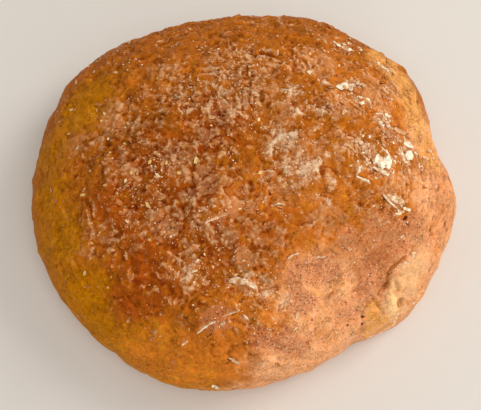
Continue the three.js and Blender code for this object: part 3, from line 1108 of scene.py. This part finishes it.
# %% Skins at the right
RIGHT_SKINS = {
    "cream plate": ([(375, 158), (383, 161.5), (391, 165)], 6.2, 0.5, 1.0),
    "lobe under the plate": ([(374, 166), (382, 171), (389, 175)], 2.4, -0.3, 0.72),
    "peel beside the plate": ([(382, 146), (388, 153), (394, 161), (396, 165)], 0.8, 0.6, 0.85),
    "tall flake": ([(408, 141), (409, 148)], 5.4, 0.5, 0.92),
    "foot of the tall flake": ([(408, 151), (410, 160)], 4.0, 0.4, 0.85),
    "peel left of the tall flake": ([(398, 147), (402, 155), (404, 160), (408, 165)], 0.9, 0.6, 0.8),
    "its lower end": ([(408, 165), (409.5, 171), (410, 177)], 0.8, 0.4, 0.6),
    "twig": ([(404.5, 136), (406, 141)], 0.7, 0.3, 0.85),
    "branch": ([(413, 152), (417.5, 155)], 0.7, 0.3, 0.85),
    "bright lip": ([(423, 156.5), (429, 159.5)], 1.1, 0.5, 1.0),
    "ring top": ([(428, 152), (431, 151), (433, 152)], 0.9, 0.3, 0.6),
    "ring side": ([(434.5, 156), (434, 159)], 1.1, 0.3, 0.7),
    "veil flake": ([(355, 139), (364, 144)], 3.6, -0.2, 0.42),
    "pale arc": ([(343, 143), (350, 146), (357, 153)], 1.7, -0.2, 0.34),
    "curl": ([(360.5, 153), (366, 151.5)], 0.8, 0.5, 0.8),
    "curved line": ([(359, 165), (359.5, 171), (356, 175.5)], 0.7, 0.5, 0.85),
    "bottom of the curve": ([(356, 176), (361, 178), (366, 180.5), (371, 184)], 1.0, 0.5, 0.82),
    "flat patch": ([(389, 196), (397, 200), (405, 205)], 3.0, 0.3, 0.7),
    "ridge under it": ([(382, 194), (388.5, 201), (394, 205.5), (398, 209)], 1.0, -0.7, 0.9),
    "bright end": ([(403, 208), (410, 210)], 1.6, -0.4, 1.0),
    "yellow tail": ([(404, 211), (399, 213.5), (393, 215)], 1.4, 0.4, 0.72),
    "tail's tip": ([(394, 214), (394, 219)], 1.0, 0.4, 0.8),
    "upper flake": ([(376, 113.5), (381.5, 112.5)], 1.0, 0.3, 0.8),
    "upper flake beside it": ([(385, 114), (390, 117)], 1.7, 0.4, 0.86),
    "long upper flake": ([(379.5, 121), (383.5, 127)], 1.6, 0.5, 0.95),
    "round upper flake": ([(387, 121), (389.5, 127)], 1.5, 0.5, 0.9),
    "soft patch": ([(395, 127), (401, 131), (406, 134)], 2.6, 0.2, 0.45),
}
print(len(RIGHT_SKINS), "skins at the right")

# %% Skins at the top
TOP_SKINS = {
    "pinkish skin": ([(333, 42), (343, 46.5), (354, 51)], 2.3, -0.35, 0.72),
    "skin on the rim": ([(347, 36.5), (355.5, 42)], 1.4, -0.3, 0.9),
    "thin skin on the rim": ([(348, 41), (352, 43.5)], 0.8, 0.3, 0.8),
    "end of the rim": ([(358, 45), (361.5, 48), (361, 51)], 0.9, 0.3, 0.85),
    "chain": ([(377, 59.5), (382.5, 66), (389, 73.5)], 0.9, 0.4, 0.8),
    "chain's end": ([(392, 79), (398, 90.5), (396.5, 95)], 0.8, 0.4, 0.66),
    "broad skin": ([(335, 87), (346, 86.5), (356, 86)], 4.6, -0.4, 0.86),
    "broad skin's other half": ([(356, 84.5), (360, 84), (365, 83)], 3.6, -0.4, 0.82),
    "thin end of it": ([(328, 88), (334, 87.5)], 0.8, -0.3, 0.7),
    "short peel": ([(356, 60), (360.5, 63.5)], 0.9, -0.3, 0.7),
    "arch": ([(358, 97), (364, 98), (369.5, 99.5), (371.5, 109)], 0.8, 0.4, 0.66),
    "patch under the arch": ([(359, 102.5), (365, 103)], 1.6, 0.2, 0.6),
    "low ridge": ([(375.5, 88.5), (384, 95), (392.5, 100)], 0.9, -0.3, 0.45),
    "fleck on the upper crown": ([(307, 71), (311, 73.5)], 1.4, 0.3, 0.8),
    "fleck near the top": ([(234, 50), (237, 48)], 0.9, 0.3, 0.75),
}
print(len(TOP_SKINS), "skins at the top")

# %% Skins in the middle and on the near side
NEAR_SKINS = {
    "pale skin": ([(228.5, 281.5), (235, 280), (242, 281), (249, 283.5)], 2.4, 0.45, 0.62),
    "its end": ([(246, 282), (252, 285), (257, 288.5)], 1.7, -0.4, 0.7),
    "upper line of it": ([(228, 279.5), (238, 277.5), (248, 280)], 0.6, 0.4, 0.8),
    "streak 1": ([(180, 281), (184, 278), (188.5, 275)], 0.8, -0.4, 0.85),
    "streak 2": ([(191, 272.5), (198, 270)], 0.7, -0.4, 0.75),
    "streak 3": ([(197, 333), (204.5, 328), (209, 324.5), (216, 321)], 0.7, -0.4, 0.9),
    "streak 4": ([(222.5, 316.5), (232, 313.5), (241, 310.5)], 0.8, -0.35, 0.6),
    "streak 5": ([(243.5, 315), (249.5, 321.5)], 0.9, 0.3, 0.85),
    "streak 6": ([(279.5, 311.5), (282, 306.5), (285, 303)], 0.8, 0.3, 0.8),
    "streak 7": ([(285, 303), (289, 297), (293, 290)], 0.6, 0.3, 0.5),
    "streak 8": ([(287, 259.5), (290.5, 256), (300, 252.5)], 0.8, 0.35, 0.75),
    "streak 9": ([(182, 345), (188, 341)], 0.8, -0.3, 0.75),
    "streak 10": ([(205, 222.5), (214, 219), (225, 215)], 0.8, -0.35, 0.6),
    "streak 11": ([(341, 145.5), (350, 145)], 0.7, -0.3, 0.6),
    "streak 12": ([(292.5, 331.5), (297.5, 326.5)], 1.0, 0.35, 0.8),
    "bright curve": ([(274, 205.5), (280, 203), (286, 206)], 0.7, -0.4, 0.8),
    "flake by the folds": ([(314.5, 258.5), (320, 257), (326, 256)], 1.2, -0.3, 0.6),
    "near flake": ([(228.5, 359.5), (234, 361.5), (240, 363.5)], 1.6, -0.3, 0.5),
    "grey flake": ([(296, 319), (299, 311)], 1.8, 0.2, 0.4),
    "near cluster": ([(259.5, 361), (265, 365)], 1.6, 0.3, 0.66),
    "flake at the foot": ([(212, 385), (220, 388)], 1.8, -0.3, 0.6),
    "flake in the crown": ([(190, 127), (196, 124)], 1.2, -0.3, 0.5),
}
print(len(NEAR_SKINS), "skins nearer to the camera")

# %% Lay the skins that were seen
SEED_STEP = 3.7

skin_meshes = []
for number, seen in enumerate([*RIGHT_SKINS.values(), *TOP_SKINS.values(), *NEAR_SKINS.values()]):
    route, width, lift, whiteness = seen
    laid = softened(laid_route(route, smooth_tree))
    skin_meshes.append(skin_mesh(Skin(laid, width, lift, whiteness, SEED_STEP * number)))
print(len(skin_meshes), "skins that were seen")

# %% [markdown]
# ## Places for scattered things
#
# Small skins, flakes and specks lie all over the crown, more of them where the crust is craggy. A
# place is drawn by choosing a triangle of the crust, with a chance that grows with its area and
# with a density, and then a random point inside that triangle. Nothing is drawn within a few
# millimetres of the table, where it would be crushed or would reach through. The draws are
# seeded, so the loaf comes out the same every time.

# %% Draw places on the crust
TABLE_MARGIN = (1.5, 3.5)

corner_index = np.empty(len(crust_mesh.loops), dtype=np.int32)
crust_mesh.loops.foreach_get("vertex_index", corner_index)
triangles = corner_index.reshape(-1, 3)
corner_a, corner_b, corner_c = (crust_points[triangles[:, i]] for i in range(3))
triangle_area = np.linalg.norm(np.cross(corner_b - corner_a, corner_c - corner_a), axis=1) / 2
clear_of_table = smoothstep(*TABLE_MARGIN, height)


def seeded(number):
    """A generator of random numbers that starts the same way every time."""
    return np.random.default_rng(number)


def draw_places(count, density, rng):
    """Random places on the crust and the outward directions there, as two arrays, in mm."""
    wanted = np.clip(density * clear_of_table, 0.0, None)
    chance = triangle_area * wanted[triangles].mean(axis=1)
    chosen = rng.choice(len(triangles), size=count, p=chance / chance.sum())
    first, second = rng.random(count), rng.random(count)
    outside = first + second > 1.0
    first[outside] = 1.0 - first[outside]
    second[outside] = 1.0 - second[outside]
    shares = np.stack([1.0 - first - second, first, second], axis=1)
    corners = triangles[chosen]
    places = np.einsum("nc,nck->nk", shares, crust_points[corners])
    directions = np.einsum("nc,nck->nk", shares, normals[corners])
    return places, directions / np.linalg.norm(directions, axis=1)[:, None]


print("the crust has", round(triangle_area.sum() / 100), "square centimetres of surface")

# %% Where the crust peels
PEELING_AT = [
    (360, 150), (384, 120), (395, 150), (385, 180), (290, 135), (300, 165), (238, 283), (205, 262),
    (400, 205), (340, 90), (345, 50), (235, 75), (120, 200),
]
WHITE_PEELS_AT = [
    (386, 122), (392, 136), (366, 148), (374, 160), (390, 172), (404, 158), (410, 150), (384, 150),
    (388, 92), (345, 45), (385, 68), (395, 205), (420, 165), (362, 100), (370, 130), (376, 176),
]
peeling = seen_near(PEELING_AT, 11.0)
white_peels = seen_near(WHITE_PEELS_AT, 5.0)
clumps = smoothstep(-0.15, 0.45, noise_field(9.0, 8))
print("peeling share of the points:", round(float((peeling > 0.5).mean()), 2))

# %% Scattered skins
SKIN_BATCHES = [
    # count, density, shortest and longest in mm, most whiteness
    (220, craggy * (0.25 + clumps) + 1.4 * peeling, 1.5, 4.2, 0.55),
    (150, white_peels**2, 0.9, 2.4, 1.1),
]
skin_rng = seeded(41)


def random_skin(place, direction, shortest, longest, whitest, rng):
    """The closed shell of a small bent skin that lies any way round at a place."""
    turn = rng.uniform(0.0, 2.0 * math.pi)
    length = rng.uniform(shortest, longest)
    width = length * rng.uniform(0.22, 0.6)
    bend = rng.uniform(-0.25, 0.25) * length
    ahead = np.cross(direction, (math.cos(turn), math.sin(turn), 0.3))
    ahead /= np.linalg.norm(ahead)
    aside = np.cross(direction, ahead)
    steps = max(3, round(length / ROUTE_STEP) + 1)
    shares = np.linspace(-0.5, 0.5, steps)[:, None]
    laid = place + shares * length * ahead + (0.25 - shares**2) * bend * aside
    lift = rng.choice([-1.0, 1.0]) * rng.uniform(0.15, 0.4)
    whiteness = whitest * rng.random() ** 2
    return skin_mesh(Skin(laid, width, lift, whiteness, rng.uniform(0.0, 500.0)))


for count, density, shortest, longest, whitest in SKIN_BATCHES:
    for place, direction in zip(*draw_places(count, density, skin_rng)):
        shell = random_skin(place, direction, shortest, longest, whitest, skin_rng)
        skin_meshes.append(shell)
print(len(skin_meshes), "skins in all")


# %% Join the skins
def joined(name, meshes):
    """One mesh of many, which are then removed."""
    bm = bmesh.new()
    for mesh in meshes:
        bm.from_mesh(mesh)
        bpy.data.meshes.remove(mesh)
    whole = bpy.data.meshes.new(name)
    bm.to_mesh(whole)
    bm.free()
    return whole


skins_mesh = joined("lifted_skins", skin_meshes)
print("the skins have", len(skins_mesh.polygons), "triangles")

# %% [markdown]
# ## The skins' finish
#
# A loose skin dries to straw and cream, because it no longer touches the moist crumb, and it is
# a little glossy. The brown of the crust stays where it is thick, so a noise mixes that back in.

# %% Skin material
skin = Recipe("dried_skin")
skin_grain = skin.grain(1.1, 3.0, 0.6, 0.5)
skin_wide = skin.grain(4.0, 2.0)
skin_share = skin.weight("whiteness") + 1.1 * (skin_grain - 0.5) + 0.6 * (skin_wide - 0.5)
skin_tone = skin.ramp(
    skin_share,
    [
        (0.05, colour(188, 104, 22)),
        (0.35, colour(212, 146, 84)),
        (0.65, colour(236, 198, 156)),
        (0.95, colour(254, 244, 214)),
    ],
)
skin_height = 0.6 * skin_grain + 0.4 * skin.grain(0.5)
skin_material = skin.finish(
    Base_Color=skin_tone,
    Roughness=0.34 + 0.3 * skin_grain,
    Normal=skin.bump(skin_height, 0.5, 0.6),
)
skins_mesh.shade_smooth()
add_piece("lifted_skins", skins_mesh, skin_material)

# %% [markdown]
# ## Small things by the thousand
#
# Flakes, flour and bran are too many to model one by one. A few prototypes of each are shaped by
# bmesh operators, with few faces. Then every copy is turned, tilted and resized with arrays, and
# all copies of a kind become one mesh.


# %% Prototypes
def arrays_of(bm):
    """The points and triangles of a small bmesh, as arrays; frees the bmesh."""
    bmesh.ops.recalc_face_normals(bm, faces=bm.faces[:])
    bmesh.ops.triangulate(bm, faces=bm.faces[:])
    bm.verts.index_update()
    proto_points = np.array([vert.co[:] for vert in bm.verts])
    proto_faces = np.array([[vert.index for vert in face.verts] for face in bm.faces])
    bm.free()
    return proto_points, proto_faces


def flake_prototype(sides, stretch, curl, thickness, rng):
    """A ragged curled chip, 1 across, whose points are one unit apart at most."""
    bm = bmesh.new()
    bmesh.ops.create_circle(bm, cap_ends=True, cap_tris=True, segments=sides, radius=0.5)
    for vert in bm.verts:
        vert.co *= rng.uniform(0.62, 1.12)
        vert.co.y *= stretch
        vert.co.z = curl * (vert.co.x + 0.5) ** 2 + rng.uniform(-0.05, 0.05)
    bmesh.ops.solidify(bm, geom=bm.faces[:], thickness=thickness)
    return arrays_of(bm)


def grain_prototype(flatness, rng):
    """A lumpy grain, 1 across."""
    bm = bmesh.new()
    bmesh.ops.create_icosphere(bm, subdivisions=1, radius=0.5)
    for vert in bm.verts:
        vert.co *= rng.uniform(0.75, 1.15)
        vert.co.z *= flatness
    return arrays_of(bm)


print("prototypes are 1 unit across, and each copy is resized")

# %% Copies
# A copy's middle stays above the table by at least this share of its size.
LOWEST_SHARE = 0.6


def turned_axes(directions, tilts, rng):
    """Three axes for each copy: the third is its outward direction, tilted by an angle."""
    count = len(directions)
    helper = rng.normal(size=(count, 3))
    first = np.cross(directions, helper)
    first /= np.linalg.norm(first, axis=1)[:, None]
    up = directions * np.cos(tilts)[:, None] + first * np.sin(tilts)[:, None]
    second = np.cross(up, first)
    second /= np.linalg.norm(second, axis=1)[:, None]
    return np.stack([np.cross(second, up), second, up], axis=1)


def scattered_mesh(name, prototypes, places, directions, sizes, tilts, rng):
    """One mesh of many small solids, each with a random `tint` kept on its points."""
    lowest = LOWEST_SHARE * sizes
    places = np.column_stack([places[:, :2], np.maximum(places[:, 2], lowest)])
    axes = turned_axes(directions, tilts, rng)
    kinds = rng.integers(len(prototypes), size=len(places))
    tints = rng.random(len(places))
    all_points, all_faces, all_tints = [], [], []
    first_free = 0
    for kind, (proto_points, proto_faces) in enumerate(prototypes):
        chosen = np.flatnonzero(kinds == kind)
        turned = np.einsum("vk,nkj->nvj", proto_points, axes[chosen])
        copies = places[chosen][:, None] + turned * sizes[chosen][:, None, None]
        offsets = first_free + np.arange(len(chosen)) * len(proto_points)
        all_points.append(copies.reshape(-1, 3))
        all_faces.append((proto_faces[None] + offsets[:, None, None]).reshape(-1, 3))
        all_tints.append(np.repeat(tints[chosen], len(proto_points)))
        first_free += len(chosen) * len(proto_points)
    mesh = bpy.data.meshes.new(name)
    mesh.from_pydata(np.concatenate(all_points) * MM, [], np.concatenate(all_faces).tolist())
    keep_on_mesh(mesh, "tint", np.concatenate(all_tints))
    print(name, "are", len(places), "small solids")
    return mesh


# %% [markdown]
# ## Small flakes
#
# Chips of crust one or two millimetres across stand up all over the crown. They are what makes it
# sparkle: the side towards the window is bright and the little shadow behind it is dark.

# %% Flakes
FLAKE_COUNT = 2400
flake_rng = seeded(52)
flake_kinds = [
    flake_prototype(8, flake_rng.uniform(0.45, 0.9), flake_rng.uniform(0.1, 0.4), 0.09, flake_rng)
    for _ in range(7)
]
craggy_flakes = craggy**1.5 * (0.1 + clumps) * (0.3 + 0.7 * leftward)
flake_density = (craggy_flakes + 0.9 * peeling + 0.3 * flour) * (1.0 - 0.6 * golden)
places, directions = draw_places(FLAKE_COUNT, flake_density, flake_rng)
sizes = flake_rng.gamma(5.0, 0.19, FLAKE_COUNT).clip(0.4, 2.0)
tilts = flake_rng.uniform(0.05, 0.55, FLAKE_COUNT)
places = places + directions * (0.06 + 0.06 * sizes[:, None])
flakes_mesh = scattered_mesh(
    "small_flakes", flake_kinds, places, directions, sizes, tilts, flake_rng
)

flake = Recipe("crust_flake")
flake_tone = flake.ramp(
    flake.weight("tint") + 0.3 * (flake.grain(1.0) - 0.5),
    [
        (0.0, colour(172, 84, 14)),
        (0.45, colour(198, 118, 50)),
        (0.75, colour(216, 154, 100)),
        (1.0, colour(250, 220, 168)),
    ],
)
flake_material = flake.finish(Base_Color=flake_tone, Roughness=0.38 + 0.2 * flake.weight("tint"))
add_piece("small_flakes", flakes_mesh, flake_material)

# %% [markdown]
# ## Flour specks
#
# Flour that did not bake in lies as tiny lumps, most of them in the pale patches, along the
# crest above the tuck, and at the foot of the loaf where it met the floured board.

# %% Specks drawn at random
SPECK_COUNT = 1700
SPARKLING_AT = [(150, 160), (190, 150), (130, 200), (170, 200), (210, 180), (190, 230), (110, 150)]

sparkling = seen_near(SPARKLING_AT, 18.0)
speck_rng = seeded(63)
grain_kinds = [grain_prototype(speck_rng.uniform(0.5, 0.9), speck_rng) for _ in range(5)]
crumb_specks = 0.9 * craggy**2 * (1.0 - golden) * (0.02 + clumps**1.5) * (0.2 + 0.8 * sparkling)
speck_density = crumb_specks + 1.4 * flour**1.5 + 0.2 * speckled
places, directions = draw_places(SPECK_COUNT, speck_density, speck_rng)
sizes = speck_rng.gamma(4.0, 0.12, SPECK_COUNT).clip(0.25, 0.9)
print("the largest random speck is", round(sizes.max(), 2), "mm")

# %% Specks along the crests
# Each line holds a route of pixels and how many specks lie along it.
SPECK_SPREAD = 0.35
SPECK_ROUTES = [
    (
        [(413.5, 252.5), (412, 260), (407.5, 261.5), (404, 264), (397.5, 266), (394, 271.5), (391, 275)],
        40,
    ),
    ([(413.5, 252.5), (407.5, 261.5), (397.5, 267)], 22),
    ([(397.5, 314), (394, 320), (391.5, 325)], 14),
    ([(364, 338), (372, 335), (381, 331), (390, 326), (397, 321)], 60),
    ([(412.5, 305), (416, 300), (418.5, 295)], 30),
    ([(369, 140), (369.5, 150), (370.5, 164)], 26),
    ([(364, 171), (368, 158)], 12),
    ([(357, 161), (362, 168)], 8),
    ([(376, 141), (390, 144)], 8),
    ([(383, 113), (391, 128)], 12),
    ([(404, 223), (412, 219)], 6),
    ([(402.5, 236), (404, 236.2)], 8),
    ([(349.5, 249.5), (350.5, 249.8)], 5),
    ([(386, 128), (378, 138)], 6),
]


def places_along(route, count, spread, rng):
    """Places near a route of pixels, on the finished crust, and their outward directions."""
    laid = laid_route(route, smooth_tree)
    chosen = laid[rng.integers(len(laid), size=count)] + rng.normal(0.0, spread, (count, 3))
    outwards = np.array([outward_at(place) for place in chosen])
    grounds = np.array([dropped(place, out) for place, out in zip(chosen, outwards)])
    return grounds, outwards


for route, count in SPECK_ROUTES:
    grounds, outwards = places_along(route, count, SPECK_SPREAD, speck_rng)
    places = np.concatenate([places, grounds])
    directions = np.concatenate([directions, outwards])
    sizes = np.concatenate([sizes, speck_rng.uniform(0.35, 1.15, count)])

places = places + directions * (0.2 * sizes[:, None])
tilts = speck_rng.uniform(0.0, 0.5, len(places))
print(len(places), "specks in all")

# %% The specks as a piece
specks_mesh = scattered_mesh(
    "flour_specks", grain_kinds, places, directions, sizes, tilts, speck_rng
)

speck = Recipe("flour_speck")
speck_tone = speck.ramp(
    speck.weight("tint"),
    [
        (0.0, colour(226, 164, 104)),
        (0.5, colour(246, 208, 156)),
        (1.0, colour(255, 242, 216)),
    ],
)
speck_material = speck.finish(Base_Color=speck_tone, Roughness=0.5)
add_piece("flour_specks", specks_mesh, speck_material)

# %% [markdown]
# ## Bran
#
# Wholemeal flour leaves husks in the skin: flat, yellow-beige, two or three millimetres long. The
# largest are where they were seen, and a few more lie about at random.

# %% Bran
# Each husk that was seen: pixel x, pixel y and its length in mm.
BRAN_SEEN = [
    (196, 160.5, 4.2), (132, 172, 3.3), (148, 205, 3.5), (128, 124, 2.8), (104.5, 114, 2.6),
    (150, 162, 2.6), (179.5, 173, 2.4), (166.5, 163, 2.2), (125, 144, 2.4), (260, 173, 2.6),
    (83, 195, 3.0), (92, 243, 2.4), (85, 273, 3.0), (137, 174, 2.4), (72, 110, 2.8),
]
BRAN_AT_RANDOM = 22
RANDOM_HUSK = 1.4

bran_rng = seeded(74)
husk_kinds = [
    flake_prototype(10, bran_rng.uniform(0.45, 0.7), 0.15, 0.1, bran_rng) for _ in range(5)
]
seen_places = np.array([np.array(seen_at(px, py, crust_tree)) / MM for px, py, _ in BRAN_SEEN])
seen_directions = np.array([outward_at(place) for place in seen_places])
random_places, random_directions = draw_places(BRAN_AT_RANDOM, craggy + 0.1, bran_rng)
places = np.concatenate([seen_places, random_places])
directions = np.concatenate([seen_directions, random_directions])
sizes = np.array([length for _, _, length in BRAN_SEEN] + [RANDOM_HUSK] * BRAN_AT_RANDOM)
tilts = bran_rng.uniform(0.0, 0.2, len(places))
places = places + directions * 0.22
bran_mesh = scattered_mesh("bran", husk_kinds, places, directions, sizes, tilts, bran_rng)

bran = Recipe("bran_husk")
bran_tone = bran.blend(colour(240, 206, 132), colour(216, 164, 82), bran.grain(0.8, 2.0))
bran_material = bran.finish(Base_Color=bran_tone, Roughness=0.42)
add_piece("bran", bran_mesh, bran_material)

# %% [markdown]
# ## Table and light
#
# A plain pale floor and soft light, as by a window on a dull day. The window's light is broad and
# comes from the far right, where the photograph's highlights are, so that every flake has a bright
# edge and a short shadow. A ceiling and a low reflector on the near side lighten the side that
# faces the camera, and the room around gives the rest.

# %% Floor
FLOOR_SIZE = 30.0
BELOW_LOAF = 0.1 * MM


def make_floor():
    """A wide flat floor just below the loaf."""
    bm = bmesh.new()
    bmesh.ops.create_grid(bm, x_segments=1, y_segments=1, size=FLOOR_SIZE / 2)
    bmesh.ops.translate(bm, verts=bm.verts, vec=(0.0, 0.0, -BELOW_LOAF))
    mesh = bpy.data.meshes.new("floor")
    bm.to_mesh(mesh)
    bm.free()
    floor = bpy.data.objects.new("floor", mesh)
    bpy.context.collection.objects.link(floor)
    print("the floor is", FLOOR_SIZE, "m across")
    return floor


table = Recipe("pale_table")
table_tone = table.blend(colour(227, 220, 211), colour(222, 215, 206), table.grain(40.0))
floor = make_floor()
floor.data.materials.append(table.finish(Base_Color=table_tone, Roughness=0.7))


# %% Lights
def add_light(name, azimuth, elevation, distance, size, power, tint):
    """A square soft light that looks at the loaf from a direction, in degrees."""
    data = bpy.data.lights.new(name, "AREA")
    data.size = size
    data.energy = power
    data.color = tint
    lamp = bpy.data.objects.new(name, data)
    bpy.context.collection.objects.link(lamp)
    around = math.radians(azimuth)
    up = math.radians(elevation)
    direction = Vector(
        (math.cos(up) * math.cos(around), math.cos(up) * math.sin(around), math.sin(up))
    )
    lamp.location = direction * distance
    lamp.rotation_euler = direction.to_track_quat("Z", "Y").to_euler()
    return lamp


add_light("window", 26.0, 38.0, 1.6, 0.8, 12.0, (1.0, 0.99, 0.97))
add_light("ceiling", -75.0, 70.0, 1.8, 1.4, 8.5, (1.0, 0.99, 0.98))
add_light("reflector", -65.0, 24.0, 1.8, 1.4, 6.0, (1.0, 0.99, 0.98))

room = bpy.data.worlds.new("room")
room.use_nodes = True
background = room.node_tree.nodes["Background"]
background.inputs["Color"].default_value = (1.0, 0.975, 0.94, 1.0)
background.inputs["Strength"].default_value = 0.47
bpy.context.scene.world = room
bpy.context.scene.view_settings.view_transform = "Standard"
print("the room's light has a strength of", round(background.inputs["Strength"].default_value, 2))
